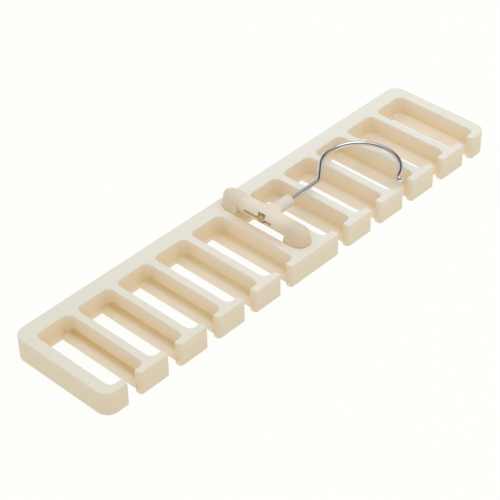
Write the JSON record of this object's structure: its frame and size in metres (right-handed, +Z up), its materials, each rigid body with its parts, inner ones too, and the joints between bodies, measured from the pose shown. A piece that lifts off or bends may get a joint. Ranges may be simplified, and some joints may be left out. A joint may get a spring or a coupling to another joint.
{
  "type": "belt hanger",
  "caption": "Flat moulded belt rack with open slots on both sides of a folding, swivelling ball-tipped wire hook.",
  "frame": {"origin": "centre of the rack's footprint on the surface that it lies on", "axes": "+X along the rack's length, towards the folded hook's loop; -Y towards the slot mouths; +Z up, out of the rack's top face"},
  "size_m": [0.38, 0.087, 0.0317],
  "materials": {
    "ivory_rack": "satin ivory moulding",
    "ivory_yoke": "satin ivory moulding",
    "chrome_wire": "bright chrome plate",
    "chrome_ball": "bright chrome plate",
    "steel_washer": "plain steel"
  },
  "bodies": {
    "rack_body": {"rack": "ivory_rack"},
    "yoke": {"swivel_yoke": "ivory_yoke"},
    "hook": {"hook_wire": "chrome_wire", "ball_tip": "chrome_ball", "retaining_washer": "steel_washer"}
  },
  "joints": [
    {"name": "yoke_fold", "type": "hinge", "parent": "rack_body", "child": "yoke", "pos_m": [0, 0, 0.0254], "axis": [0, -1, 0], "range_deg": [0, 180]},
    {"name": "hook_swivel", "type": "hinge", "parent": "yoke", "child": "hook", "pos_m": [0, 0, 0.0254], "axis": [1, 0, 0], "range_deg": [-5, 5]}
  ]
}
